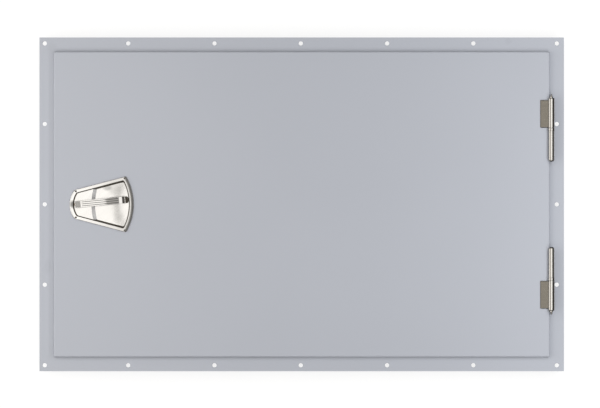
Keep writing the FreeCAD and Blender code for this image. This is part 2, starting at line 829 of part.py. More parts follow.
def lever_plan_prism(z0, z1):
    """The lever seen from above: a slight taper from a rounded back to a rounded tip."""
    start = hub_x - lever_start
    tip = hub_x + lever_reach
    shoulder = tip - lever_tip_width / 4.0
    back_half = lever_width / 2.0
    tip_half = lever_tip_width / 2.0
    back_left = vec(start, back_half, z0)
    tip_left = vec(shoulder, tip_half, z0)
    tip_right = vec(shoulder, -tip_half, z0)
    back_right = vec(start, -back_half, z0)
    edges = [
        Part.LineSegment(back_left, tip_left).toShape(),
        Part.Arc(tip_left, vec(tip, 0, z0), tip_right).toShape(),
        Part.LineSegment(tip_right, back_right).toShape(),
        Part.LineSegment(back_right, back_left).toShape(),
    ]
    plan = Part.Face(Part.Wire(edges)).extrude(vec(0, 0, z1 - z0))
    back_corners = [edge for edge in upright_edges(plan) if edge.BoundBox.XMax < start + 0.001]
    return plan.makeFillet(lever_back_round, back_corners)


def long_top_edges(blank):
    """The two edges of the lever's flat top and slope on each side."""
    found = []
    for edge in blank.Edges:
        box = edge.BoundBox
        if box.XLength > lever_reach / 4.0 and box.YLength < 1.0 and box.ZMin > lever_base + 1.0:
            found.append(edge)
    return found


def lever_groove(y):
    """Cutter for one groove that follows the lever's top."""
    start = hub_x + groove_start
    bend = hub_x + lever_bend
    end = hub_x + lever_dip - groove_end_gap
    halfway = (bend + end) / 2.0
    clear = lever_top + hub_block_height
    side = y - groove_width / 2.0
    bed = lever_top - groove_depth
    bed_start = vec(start, side, bed)
    bed_bend = vec(bend, side, bed)
    bed_halfway = vec(halfway, side, bed - lever_fall(halfway))
    bed_end = vec(end, side, bed - lever_fall(end))
    clear_end = vec(end, side, clear)
    clear_start = vec(start, side, clear)
    edges = [
        Part.LineSegment(bed_start, bed_bend).toShape(),
        Part.Arc(bed_bend, bed_halfway, bed_end).toShape(),
        Part.LineSegment(bed_end, clear_end).toShape(),
        Part.LineSegment(clear_end, clear_start).toShape(),
        Part.LineSegment(clear_start, bed_start).toShape(),
    ]
    return Part.Face(Part.Wire(edges)).extrude(vec(0, groove_width, 0))


def tip_groove(y):
    """Cutter for one short groove down the lever's sloping tip."""
    start = hub_x + lever_crest + grip_start
    end = hub_x + lever_reach
    side = y - groove_width / 2.0
    outline = [
        (start, lever_top), (start, lever_tip_slope(start) - grip_depth),
        (end, lever_tip_slope(end) - grip_depth), (end, lever_top),
    ]
    return prism([(x, side, z) for x, z in outline], vec(0, groove_width, 0))


def tip_notch():
    """Cutter for the notch across the lever's sloping tip."""
    middle = hub_x + lever_crest + grip_notch
    back = middle - grip_notch_half
    front = middle + grip_notch_half
    side = -lever_width / 2.0
    outline = [
        (back, lever_top), (back, lever_tip_slope(back)), (middle, lever_tip_slope(middle) - grip_depth),
        (front, lever_tip_slope(front)), (front, lever_top),
    ]
    return prism([(x, side, z) for x, z in outline], vec(0, lever_width, 0))


def hub_block():
    """Bevelled block over the spindle, falling towards the lever's tip."""
    back = hub_x - lever_start
    front = back + hub_block_length
    side = -hub_block_width / 2.0
    outline = [
        (back, lever_top), (back, lever_top + hub_block_height),
        (front, lever_top + hub_block_front), (front, lever_top),
    ]
    cap = prism([(x, side, z) for x, z in outline], vec(0, hub_block_width, 0))
    above = lever_top + hub_block_front / 2.0
    return cap.makeChamfer(hub_block_bevel, [edge for edge in cap.Edges if edge.BoundBox.ZMin > above])


def make_lever():
    """Finger lever with a bevelled hub block, long grooves in its top and a ribbed tip."""
    blank = lever_side_face(-lever_width / 2.0).extrude(vec(0, lever_width, 0))
    blank = blank.common(lever_plan_prism(lever_foot, lever_top))
    blank = blank.makeFillet(lever_edge_round, long_top_edges(blank))
    lever = blank.fuse(hub_block()).removeSplitter()
    rib = (lever_width - groove_count * groove_width) / (groove_count + 1)
    for step in range(groove_count):
        y = (step - (groove_count - 1) / 2.0) * (rib + groove_width)
        lever = lever.cut(lever_groove(y)).cut(tip_groove(y))
    lever = lever.cut(tip_notch())
    lever = lever.cut(post(hub_x, 0, lever_base, lever_base + spindle_socket, spindle_diameter))
    return turn_to_rest(lever)


def make_spindle():
    """Round spindle, squared for the crank and threaded at its foot."""
    foot = crank_bottom - washer_thickness - spindle_nut_height - thread_end
    half = spindle_square / 2.0
    spindle = post(hub_x, 0, crank_top, lever_base + spindle_socket, spindle_diameter)
    square = block(hub_x - half, hub_x + half, -half, half, crank_bottom, crank_top)
    spindle = spindle.fuse(square).fuse(post(hub_x, 0, foot, crank_bottom, spindle_thread))
    return turn_to_rest(spindle.removeSplitter())


def make_crank():
    """Short arm from the spindle to the crank pin."""
    eye_y = -crank_radius
    arm = block(
        hub_x - crank_eye / 2.0, hub_x + crank_eye / 2.0, eye_y, 0, crank_bottom, crank_top,
    )
    arm = arm.fuse(post(hub_x, 0, crank_bottom, crank_top, crank_hub))
    arm = arm.fuse(post(hub_x, eye_y, crank_bottom, crank_top, crank_eye)).removeSplitter()
    half = spindle_square / 2.0
    arm = arm.cut(block(hub_x - half, hub_x + half, -half, half, crank_bottom, crank_top))
    arm = arm.cut(post(hub_x, eye_y, crank_bottom, crank_top, crank_pin_diameter))
    return turn_to_rest(arm)


def make_crank_pin():
    pin = post(hub_x, -crank_radius, bolt_bottom + crank_pin_end_gap, crank_top, crank_pin_diameter)
    head = post(hub_x, -crank_radius, crank_top, crank_top + crank_pin_head_height, crank_pin_head)
    return turn_to_rest(pin.fuse(head).removeSplitter())


def make_spindle_washer():
    washer = post(hub_x, 0, crank_bottom - washer_thickness, crank_bottom, washer_diameter)
    return washer.cut(post(hub_x, 0, crank_bottom - washer_thickness, crank_bottom, spindle_thread))


def make_spindle_nut():
    top = crank_bottom - washer_thickness
    nut = hexagon(hub_x, 0, top - spindle_nut_height, top, spindle_nut_flats, spindle_thread)
    return turn_to_rest(nut)


def make_latch_bolt():
    """Flat bolt with a cross slot that the crank pin drives."""
    tail = hub_x + bolt_tail
    half = bolt_width / 2.0
    bar = block(bolt_tip, tail, bolt_y - half, bolt_y + half, bolt_bottom, bolt_top)
    nose = [edge for edge in edges_at_height(bar, bolt_top) if edge.BoundBox.XMax < bolt_tip + 0.001]
    bar = bar.makeChamfer(bolt_nose_bevel, nose)
    pin_x = hub_x + crank_radius * math.sin(math.radians(lever_rest_angle))
    slot_half_x = crank_pin_radius + bolt_slot_gap
    slot_half_y = crank_pin_radius + bolt_slot_gap + pin_rise / 2.0
    slot = block(
        pin_x - slot_half_x, pin_x + slot_half_x, bolt_y - slot_half_y, bolt_y + slot_half_y,
        bolt_bottom, bolt_top,
    )
    return bar.cut(slot)


def case_stud_places():
    places = []
    row = case_half_width + case_flange / 2.0
    for x in (case_left + case_stud_inset, case_right - case_stud_inset):
        for side in (-1, 1):
            places.append((x, side * row))
    return places


def make_latch_case():
    """Folded trough under the dish, hung from the lid, with windows that guide the bolt."""
    sheet = case_sheet
    half = case_half_width
    reach = case_half_width + case_flange
    top = lid_under
    outline = [
        (-reach, top), (sheet - half, top), (sheet - half, case_floor), (half - sheet, case_floor),
        (half - sheet, top), (reach, top), (reach, top - sheet), (half, top - sheet),
        (half, case_bottom), (-half, case_bottom), (-half, top - sheet), (-reach, top - sheet),
    ]
    case = prism([(case_left, y, z) for y, z in outline], vec(case_length, 0, 0))
    wall_top = lid_top - case_wall_top
    inner = half - sheet
    left_wall = block(case_left, case_left + sheet, -inner, inner, case_floor, wall_top)
    right_wall = block(case_right - sheet, case_right, -inner, inner, case_floor, wall_top)
    case = case.fuse(left_wall).fuse(right_wall).removeSplitter()
    window_half = bolt_width / 2.0 + bolt_guide_gap
    window = block(
        case_left, case_right, bolt_y - window_half, bolt_y + window_half,
        case_floor, bolt_top + bolt_guide_gap,
    )
    case = case.cut(window)
    hole = case_stud_diameter + 2.0 * case_stud_hole_gap
    drills = [post(x, y, top - sheet, top, hole) for x, y in case_stud_places()]
    return case.cut(Part.makeCompound(drills))


def make_case_studs():
    low = lid_under - case_stud_length
    return Part.makeCompound([post(x, y, low, lid_under, case_stud_diameter) for x, y in case_stud_places()])


def make_case_nuts():
    top = lid_under - case_sheet
    low = top - case_nut_height
    nuts = [hexagon(x, y, low, top, case_nut_flats, case_stud_diameter) for x, y in case_stud_places()]
    return Part.makeCompound(nuts)


def mirrored(shape):
    """The same piece on the other side of the lid's middle."""
    return shape.mirror(vec(0, 0, 0), vec(0, 1, 0))


def save(name, shape):
    shape.exportStep("parts/" + name + ".step")


os.makedirs("parts", exist_ok=True)

save("deck_flange", make_deck_flange())
save("coaming", make_coaming())
save("keeper", make_keeper())
save("keeper_screws", make_keeper_screws())
save("keeper_nuts", make_keeper_nuts())

hinge_makers = [
    ("hinge_knuckle", make_hinge_knuckle),
    ("hinge_pin", make_hinge_pin),
    ("hinge_ring", make_hinge_ring),
    ("hinge_leaf", make_hinge_leaf),
    ("grease_nipple", make_grease_nipple),
]
for hinge_name, maker in hinge_makers:
    upper_piece = maker()
    save(hinge_name + "_upper", upper_piece)
    save(hinge_name + "_lower", mirrored(upper_piece))

save("lid_panel", make_lid_panel())
save("gasket_channel", make_gasket_channel())
save("gasket", make_gasket())
for place, side in (("left", -1), ("middle", 0), ("right", 1)):
    save("stiffener_" + place, make_stiffener(centre_x + side * stiffener_pitch))

save("latch_pan", make_latch_pan())
save("pan_pad", make_pan_pad())
save("pan_screws", make_pan_screws())
save("pan_nuts", make_pan_nuts())
save("spindle_bush", make_spindle_bush())
save("bush_locknut", make_bush_locknut())
save("latch_case", make_latch_case())
save("case_studs", make_case_studs())
save("case_nuts", make_case_nuts())

save("lever", make_lever())
save("spindle", make_spindle())
save("crank", make_crank())
save("crank_pin", make_crank_pin())
save("spindle_washer", make_spindle_washer())
save("spindle_nut", make_spindle_nut())
save("latch_bolt", make_latch_bolt())
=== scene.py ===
"""Looks of the steel deck hatch: grey paint, polished dish, brushed hinges, weld beads and a pale studio.

The hatch lies flat with its latch to the left. Sizes are in metres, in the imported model's frame.
"""
import math
from random import Random

import bmesh
import bpy
from bpy.props import FloatProperty, FloatVectorProperty, PointerProperty
from bpy.types import Operator, Panel, PropertyGroup
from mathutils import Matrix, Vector


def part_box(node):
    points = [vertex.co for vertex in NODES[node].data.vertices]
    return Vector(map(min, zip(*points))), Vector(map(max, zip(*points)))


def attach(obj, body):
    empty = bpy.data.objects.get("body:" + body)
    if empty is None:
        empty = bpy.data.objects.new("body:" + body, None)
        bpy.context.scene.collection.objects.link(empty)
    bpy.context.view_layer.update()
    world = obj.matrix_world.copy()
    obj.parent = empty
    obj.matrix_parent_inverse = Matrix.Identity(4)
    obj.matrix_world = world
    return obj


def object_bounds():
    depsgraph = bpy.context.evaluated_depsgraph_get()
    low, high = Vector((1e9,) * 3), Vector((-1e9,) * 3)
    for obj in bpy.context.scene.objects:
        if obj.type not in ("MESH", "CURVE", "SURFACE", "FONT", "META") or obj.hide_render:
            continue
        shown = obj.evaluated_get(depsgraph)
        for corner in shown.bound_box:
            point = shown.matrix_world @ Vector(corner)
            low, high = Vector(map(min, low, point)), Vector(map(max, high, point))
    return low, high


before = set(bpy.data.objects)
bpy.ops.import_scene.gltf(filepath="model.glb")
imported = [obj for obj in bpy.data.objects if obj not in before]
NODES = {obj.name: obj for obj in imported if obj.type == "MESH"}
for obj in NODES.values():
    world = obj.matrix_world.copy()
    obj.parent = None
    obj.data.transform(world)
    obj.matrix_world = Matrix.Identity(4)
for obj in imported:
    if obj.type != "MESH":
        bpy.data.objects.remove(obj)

bl_info = {
    "name": "Steel deck hatch",
    "version": (1, 0, 0),
    "blender": (4, 5, 0),
    "location": "View3D > Sidebar > Hatch",
    "description": "Paint, metal finishes, weld beads and studio for a hinged steel deck hatch",
    "category": "Object",
}

CAD_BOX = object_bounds()

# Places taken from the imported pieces
FLANGE_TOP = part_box("deck_flange")[1].z
RIM_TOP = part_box("latch_pan")[1].z
NECK_LOW, NECK_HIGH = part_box("coaming")
BARREL_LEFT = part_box("hinge_ring_upper")[0].x
BUSH_LOW, BUSH_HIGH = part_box("spindle_bush")
HUB_X = (BUSH_LOW.x + BUSH_HIGH.x) / 2.0

# The lever at rest and its long grooves, measured from the hub along it
LEVER_TURN = math.radians(5.5)
GROOVE_PITCH = 0.0041
GROOVES_HALF_WIDTH = 1.4 * GROOVE_PITCH
GROOVE_START = 0.008
GROOVE_END = 0.085
# Half widths of the painted shade in each groove: where it is fully dark and where it ends
GROOVE_DARK_HALF = 0.0006
GROOVE_EDGE_HALF = 0.00085

# The dish's rim: how far down it counts as rim, and where along the hatch its painted shade starts and
# stops darkening it
RIM_DEPTH = 0.0035
RIM_SHADE_START = -0.470
RIM_SHADE_END = -0.375

# Faint marks on the flange: place, radius and how much each is squeezed along X
FLANGE_MARKS = (
    ((-0.522, 0.328, 0.0), 0.014, 1.0),
    ((-0.530, -0.131, 0.0), 0.022, 2.2),
    ((0.435, 0.342, 0.0), 0.010, 1.0),
    ((0.504, 0.019, 0.0), 0.012, 1.4),
)

# Painted reflections on the dish, darker places behind the hub and by the long walls: place, radius,
# squeeze and strength
DISH_REFLECTION_MARKS = (
    ((-0.4780, 0.0, 0.0), 0.0110, 1.4, 0.72),
    ((-0.4060, 0.0345, 0.0), 0.0080, 0.6, 0.34),
    ((-0.3900, 0.0340, 0.0), 0.0180, 0.8, 0.20),
    ((-0.3850, -0.0260, 0.0), 0.0200, 1.6, 0.10),
)

# Finishes without a control in the sidebar
# Dark steel colour painted on the polished pieces' steep walls as painted shade
SHADED_WALL_STEEL = (0.10, 0.088, 0.072)
BARREL_STEEL = (0.365, 0.347, 0.322)
RUBBER_BLACK = (0.022, 0.022, 0.024)
PAPER_WHITE = (0.24, 0.24, 0.238)
POLISH_LINE = 0.0012
HINGE_ROUGHNESS = 0.10

# Brushed finishes: colour, spacing of the brushing lines and roughness
SCREW_FINISH = ((0.10, 0.095, 0.088), 0.0004, 0.4)
ZINC_FINISH = ((0.56, 0.57, 0.58), 0.0009, 0.42)
BRONZE_FINISH = ((0.30, 0.20, 0.105), 0.0007, 0.45)

# Weld beads: sides of a ring, spacing of the rings, rings in a ripple, and a ring's shares of the radius
BEAD_SIDES = 8
BEAD_STEP = 0.0018
RIPPLE_RINGS = 3
RIPPLE_LEAST = 0.94
RIPPLE_SWELL = 0.06
RIPPLE_CHANCE = 0.03

# Each kind of bead: radius and seed
NECK_BEAD = (0.0022, 5)
WEB_BEAD = (0.0014, 7)
STITCH_BEAD = (0.0019, 11)

# Where the beads lie: round the neck, along the hinge webs and beside the stiffeners
NECK_CORNER = 0.015
NECK_BEAD_OUT = 0.0004
NECK_BEAD_DOWN = 0.0004
WEB_FACE = 0.5274
WEB_BEAD_START = 0.0955
WEB_BEAD_END = 0.1500
WEB_BEAD_LIFT = 0.0002
STITCH_PITCH = 0.086
STITCH_HALF = 0.0125
STITCHES_PER_HALF = 3
STITCH_OUT = 0.0003
STITCH_DOWN = 0.0006

# Studio: the paper on the floor, the backdrop, and soft lights as name, place, target, width and height
FLOOR_RADIUS = 14.0
FLOOR_SIDES = 96
FLOOR_GAP = 0.0005
BACKDROP = (0.98, 0.98, 0.98, 1.0)
WARM_LIGHT = (1.0, 0.985, 0.96)
COOL_LIGHT = (0.97, 0.985, 1.0)
LEFT_PANEL = ("panel_left", (-1.26, 0.0, 1.10), (-1.26, 0.0, 0.0), 2.08, 1.80)
RIGHT_PANEL = ("panel_right", (0.90, -0.04, 1.10), (0.90, -0.04, 0.0), 0.50, 1.80)
LEFT_WALL = ("wall_left", (-2.60, 0.0, 0.75), (0.0, 0.0, 0.75), 1.80, 0.80)
SENSOR_WIDTH = 36.0


class HatchPaint(PropertyGroup):
    """Colour and texture of the painted sheet."""

    colour: FloatVectorProperty(
        name="Paint", description="Grey of the painted steel", subtype="COLOR",
        size=3, min=0.0, max=1.0, default=(0.408, 0.428, 0.478),
    )
    gloss: FloatProperty(
        name="Roughness", description="Roughness of the dry paint", subtype="FACTOR",
        min=0.0, max=1.0, default=0.46,
    )
    grain: FloatProperty(
        name="Orange peel", description="Width of the paint's ripples", unit="LENGTH",
        min=0.0005, max=0.02, default=0.0035,
    )


class HatchMetal(PropertyGroup):
    """Colours and finish of the bare metal."""

    polished: FloatVectorProperty(
        name="Polished steel", description="Colour of the polished dish and lever", subtype="COLOR",
        size=3, min=0.0, max=1.0, default=(0.530, 0.522, 0.510),
    )
    brushed: FloatVectorProperty(
        name="Brushed steel", description="Colour of the hinges' leaves and webs", subtype="COLOR",
        size=3, min=0.0, max=1.0, default=(0.34, 0.315, 0.272),
    )
    polish: FloatProperty(
        name="Polish", description="Roughness of the polished dish and lever", subtype="FACTOR",
        min=0.0, max=1.0, default=0.16,
    )
    brush_width: FloatProperty(
        name="Brush line", description="Spacing of the hinges' brushing lines", unit="LENGTH",
        min=0.0001, max=0.01, default=0.0006,
    )


class HatchStage(PropertyGroup):
    """Camera and light round the hatch."""

    lens: FloatProperty(
        name="Lens", description="Focal length of the camera", unit="CAMERA",
        min=20.0, max=500.0, default=400.0,
    )
    view_width: FloatProperty(
        name="View width", description="Width that the picture takes in at the flange", unit="LENGTH",
        min=0.5, max=5.0, default=1.2584,
    )
    view_x: FloatProperty(
        name="View across", description="Where the camera stands along the hatch", unit="LENGTH",
        default=-0.0016,
    )
    view_y: FloatProperty(
        name="View up", description="Where the camera stands across the hatch", unit="LENGTH",
        default=0.0007,
    )
    left_glow: FloatProperty(
        name="Left panel", description="Brightness of the wide panel over the latch",
        min=0.0, default=1.26,
    )
    right_glow: FloatProperty(
        name="Right panel", description="Brightness of the panel right of the hinges",
        min=0.0, default=4.3,
    )
    wall_glow: FloatProperty(
        name="Left wall", description="Brightness of the low wall at the left",
        min=0.0, default=3.0,
    )
    overhead: FloatVectorProperty(
        name="Overhead", description="Light of the room overhead", subtype="COLOR",
        size=4, min=0.0, default=(0.68, 0.66, 0.63, 1.0),
    )
    horizon: FloatVectorProperty(
        name="Horizon", description="Light of the room at the horizon on the hinge side", subtype="COLOR",
        size=4, min=0.0, default=(0.05, 0.042, 0.035, 1.0),
    )
    walls: FloatVectorProperty(
        name="Walls", description="Light of the room's walls on all sides but the hinge side",
        subtype="COLOR", size=4, min=0.0, default=(0.36, 0.352, 0.345, 1.0),
    )
    under_glow: FloatProperty(
        name="Under glow", description="Light that the paper gives to the hatch",
        min=0.0, default=0.55,
    )
    floor_glow: FloatProperty(
        name="Floor glow", description="How bright the paper looks in its own shade",
        min=0.0, default=0.79,
    )


def add_node(tree, kind, inputs=None, **settings):
    """Adds a shader node, sets its own settings and then its inputs' values or links."""
    made = tree.nodes.new(kind)
    for name, value in settings.items():
        setattr(made, name, value)
    for name, value in (inputs or {}).items():
        if isinstance(value, bpy.types.NodeSocket):
            tree.links.new(value, made.inputs[name])
        else:
            made.inputs[name].default_value = value
    return made


def calculate(tree, operation, *values):
    """One Math node; returns its value."""
    return add_node(tree, "ShaderNodeMath", dict(enumerate(values)), operation=operation).outputs[0]


def combine(tree, operation, *vectors):
    """One Vector Math node; returns its vector."""
    return add_node(tree, "ShaderNodeVectorMath", dict(enumerate(vectors)), operation=operation).outputs[0]


def multiply(tree, first, second):
    return calculate(tree, "MULTIPLY", first, second)


def spread(tree, value, start, change):
    """Start where the value is 0, and start plus change where it is 1."""
    return calculate(tree, "MULTIPLY_ADD", value, change, start)


def ramp(tree, value, start, end, low=0.0, high=1.0, soft=True):
    """Goes from low to high as the value goes from start to end, with soft ends or in a straight line."""
    return add_node(tree, "ShaderNodeMapRange", {
        "Value": value, "From Min": start, "From Max": end, "To Min": low, "To Max": high,
    }, interpolation_type="SMOOTHSTEP" if soft else "LINEAR").outputs["Result"]


def mix_colours(tree, amount, first, second):
    """The first colour where the amount is 0 and the second where it is 1."""
    return add_node(tree, "ShaderNodeMix", {0: amount, 6: first, 7: second}, data_type="RGBA").outputs[2]


def shade_colour(tree, colour, amount):
    """The colour made lighter or darker by an amount that varies over the surface."""
    inputs = {0: tuple(colour), "Scale": amount}
    return add_node(tree, "ShaderNodeVectorMath", inputs, operation="SCALE").outputs[0]


def axis_of(tree, vector, axis):
    return add_node(tree, "ShaderNodeSeparateXYZ", {0: vector}).outputs[axis]


def turn_flat(tree, place, angle):
    """The place turned about Z."""
    inputs = {"Vector": place, "Rotation": (0.0, 0.0, angle)}
    return add_node(tree, "ShaderNodeMapping", inputs).outputs["Vector"]


def facing(tree, axis):
    """How far a face looks along one axis of its piece, from -1 to 1."""
    return axis_of(tree, tree.nodes.new("ShaderNodeTexCoord").outputs["Normal"], axis)


def facing_up(tree, steep, flat):
    """0 on faces whose normal rises less than steep and 1 where it rises more than flat, up or down."""
    return ramp(tree, calculate(tree, "ABSOLUTE", facing(tree, "Z")), start=steep, end=flat)


def facing_hinges(tree, start, end):
    """0 to 1 as a face leans more to the hinge side."""
    return ramp(tree, facing(tree, "X"), start, end, soft=False)


def new_group(name, inputs, outputs):
    """A shader group with float sockets and a place; returns it with its two ends."""
    group = bpy.data.node_groups.new(name, "ShaderNodeTree")
    group.interface.new_socket("Place", in_out="INPUT", socket_type="NodeSocketVector")
    for label, value in inputs:
        made = group.interface.new_socket(label, in_out="INPUT", socket_type="NodeSocketFloat")
        made.default_value = value
    for label in outputs:
        group.interface.new_socket(label, in_out="OUTPUT", socket_type="NodeSocketFloat")
    way_in = group.nodes.new("NodeGroupInput")
    way_out = group.nodes.new("NodeGroupOutput")
    return group, way_in, way_out


def noise(group, place, size, detail, roughness, fineness=1.0):
    """Noise with waves of about a size, or wider where the fineness is below 1."""
    return add_node(group, "ShaderNodeTexNoise", {
        "Vector": place, "Scale": calculate(group, "DIVIDE", fineness, size),
        "Detail": detail, "Roughness": roughness,
    }).outputs["Fac"]


def cloudiness_group():
    """Slow change of tone over a surface, with a finer one in it."""
    sizes = [("Size", 0.2), ("Fine size", 0.01)]
    group, way_in, way_out = new_group("Cloudiness", sizes, ["Cloud", "Fleck"])
    place = way_in.outputs["Place"]
    slow = noise(group, place, way_in.outputs["Size"], detail=2.0, roughness=0.5)
    fine = noise(group, place, way_in.outputs["Fine size"], detail=3.0, roughness=0.6)
    group.links.new(slow, way_out.inputs["Cloud"])
    group.links.new(fine, way_out.inputs["Fleck"])
    return group


def brushing_group():
    """Fine lines left by brushing, drawn out along the Y axis of the given place."""
    group, way_in, way_out = new_group("Brushing", [("Line", 0.0006)], ["Streak", "Band"])
    line = way_in.outputs["Line"]
    stretched = combine(group, "MULTIPLY", way_in.outputs["Place"], (1.0, 0.03, 0.03))
    streaks = noise(group, stretched, line, detail=3.0, roughness=0.65)
    bands = noise(group, stretched, line, detail=2.0, roughness=0.5, fineness=0.12)
    group.links.new(streaks, way_out.inputs["Streak"])
    group.links.new(bands, way_out.inputs["Band"])
    return group


def shared_group(name, maker):
    """The shader group of this name, made on first use."""
    return bpy.data.node_groups.get(name) or maker()


def add_clouds(tree, place, size, fine_size):
    """The cloudiness group's outputs, for waves of two sizes."""
    group = shared_group("Cloudiness", cloudiness_group)
    inputs = {"Place": place, "Size": size, "Fine size": fine_size}
    return add_node(tree, "ShaderNodeGroup", inputs, node_tree=group).outputs


def add_brushing(tree, place, turn, line):
    """The brushing group's outputs, with its lines turned about Z."""
    group = shared_group("Brushing", brushing_group)
    inputs = {"Place": turn_flat(tree, place, turn), "Line": line}
    return add_node(tree, "ShaderNodeGroup", inputs, node_tree=group).outputs


def new_material(name, values=None):
    """A material with a Principled shader and its inputs' values; returns both, the tree and the place."""
    material = bpy.data.materials.new(name)
    material.use_nodes = True
    tree = material.node_tree
    tree.nodes.clear()
    shader = add_node(tree, "ShaderNodeBsdfPrincipled", values)
    add_node(tree, "ShaderNodeOutputMaterial", {"Surface": shader.outputs["BSDF"]})
    place = tree.nodes.new("ShaderNodeTexCoord").outputs["Object"]
    return material, tree, shader, place


def finish_surface(tree, shader, colour, rough, height, strength, depth):
    """Gives the shader its colour, its roughness and a bump."""
    bump = add_node(tree, "ShaderNodeBump", {"Height": height, "Strength": strength, "Distance": depth})
    tree.links.new(colour, shader.inputs["Base Color"])
    tree.links.new(rough, shader.inputs["Roughness"])
    tree.links.new(bump.outputs["Normal"], shader.inputs["Normal"])


def soft_spot(tree, place, centre, radius, squeeze):
    """1 in the middle of a faint round mark, falling to 0 at its edge."""
    moved = combine(tree, "SUBTRACT", place, centre)
    scaled = combine(tree, "MULTIPLY", moved, (squeeze, 1.0, 0.0))
    far = add_node(tree, "ShaderNodeVectorMath", {0: scaled}, operation="LENGTH").outputs["Value"]
    return ramp(tree, far, start=radius, end=0.3 * radius)


def paint_material(name, paint, marks):
    """Satin grey paint with a faint orange peel, slow changes of tone and any marks."""
    material, tree, shader, place = new_material(name, {"Specular IOR Level": 0.4})
    clouds = add_clouds(tree, place, size=0.35, fine_size=paint.grain)
    tone = spread(tree, clouds["Cloud"], start=0.965, change=0.05)
    tone = spread(tree, clouds["Fleck"], start=tone, change=0.02)
    for centre, radius, squeeze in marks:
        tone = spread(tree, soft_spot(tree, place, centre, radius, squeeze), start=tone, change=-0.045)
    colour = shade_colour(tree, paint.colour, tone)
    rough = spread(tree, clouds["Cloud"], start=paint.gloss - 0.05, change=0.10)
    finish_surface(tree, shader, colour, rough, clouds["Fleck"], strength=0.12, depth=0.0002)
    return material


def rim_painted_shade(tree, place):
    """Tone of the dish's rim, made a little darker towards its wide end by painted shade, and 1 on the
    dish's floor.
    """
    along = axis_of(tree, place, "X")
    fade = ramp(tree, along, RIM_SHADE_START, RIM_SHADE_END, low=-0.06, high=0.22, soft=False)
    on_rim = calculate(tree, "GREATER_THAN", axis_of(tree, place, "Z"), RIM_TOP - RIM_DEPTH)
    return calculate(tree, "SUBTRACT", 1.0, multiply(tree, fade, on_rim))


def lever_grooves(tree, place):
    """1 in the middle of the lever's long grooves, by their place on it, and 0 beside them."""
    from_hub = combine(tree, "SUBTRACT", place, (HUB_X, 0.0, 0.0))
    on_lever = turn_flat(tree, from_hub, -LEVER_TURN)
    along = axis_of(tree, on_lever, "X")
    across = axis_of(tree, on_lever, "Y")
    half_pitch = GROOVE_PITCH / 2.0
    from_line = calculate(tree, "ABSOLUTE", calculate(tree, "WRAP", across, half_pitch, -half_pitch))
    line = ramp(tree, from_line, start=GROOVE_EDGE_HALF, end=GROOVE_DARK_HALF)
    in_width = calculate(tree, "LESS_THAN", calculate(tree, "ABSOLUTE", across), GROOVES_HALF_WIDTH)
    halfway = (GROOVE_START + GROOVE_END) / 2.0
    in_length = calculate(tree, "COMPARE", along, halfway, GROOVE_END - halfway)
    return multiply(tree, multiply(tree, line, in_width), in_length)


def lever_tones(tree, place, tone):
    """Tones of the lever's bright and shaded faces, both darkened in its grooves by painted shade."""
    tone = multiply(tree, tone, spread(tree, lever_grooves(tree, place), start=1.0, change=-0.75))
    return tone, tone


def dish_tones(tree, place, tone):
    """Tones of the dish's bright and shaded faces.

    Painted reflection darkens a floor that leans to the hinges and lightens the steep step in it. Painted
    shade darkens the rim towards its wide end, and painted reflections darken a few places.
    """
    # Painted highlight on the steep step, and painted reflection that darkens the floor where it leans to
    # the hinges
    step = facing_hinges(tree, start=0.50, end=0.60)
    floor = spread(tree, facing_hinges(tree, start=0.12, end=0.40), start=1.0, change=-0.88)
    bright = multiply(tree, tone, spread(tree, step, start=floor, change=1.5))
    bright = multiply(tree, bright, rim_painted_shade(tree, place))
    # Painted reflections: a few darker places
    for centre, radius, squeeze, strength in DISH_REFLECTION_MARKS:
        spot = soft_spot(tree, place, centre, radius, squeeze)
        bright = multiply(tree, bright, spread(tree, spot, start=1.0, change=-strength))
    shaded = multiply(tree, tone, spread(tree, step, start=1.0, change=0.8))
    return bright, shaded


def polished_material(name, metal, turn, tones):
    """Bright polished steel with faint polishing lines at an angle; its steep walls get painted shade in a
    dark steel colour, and faces of middling slope a painted highlight.
    """
    material, tree, shader, place = new_material(name, {"Metallic": 1.0})
    lines = add_brushing(tree, place, turn, POLISH_LINE)
    clouds = add_clouds(tree, place, size=0.03, fine_size=0.004)
    slope = calculate(tree, "SUBTRACT", 1.0, facing_up(tree, steep=0.66, flat=0.80))
    tone = spread(tree, lines["Band"], start=0.90, change=0.16)
    # Painted highlight: faces of middling slope are made lighter
    tone = spread(tree, slope, start=tone, change=0.5)
    lit_tone, shaded_tone = tones(tree, place, tone)
    # Lit and shaded copies of the steel: faces that rise far enough take the polished colour, steep walls
    # the painted shade colour
    bright = shade_colour(tree, metal.polished, lit_tone)
    shaded = shade_colour(tree, SHADED_WALL_STEEL, shaded_tone)
    colour = mix_colours(tree, facing_up(tree, steep=0.40, flat=0.58), shaded, bright)
    rough = spread(tree, lines["Streak"], start=metal.polish - 0.05, change=0.10)
    rough = spread(tree, slope, start=rough, change=0.55)
    height = spread(tree, clouds["Cloud"], start=lines["Streak"], change=6.0)
    finish_surface(tree, shader, colour, rough, height, strength=0.35, depth=0.00008)
    return material


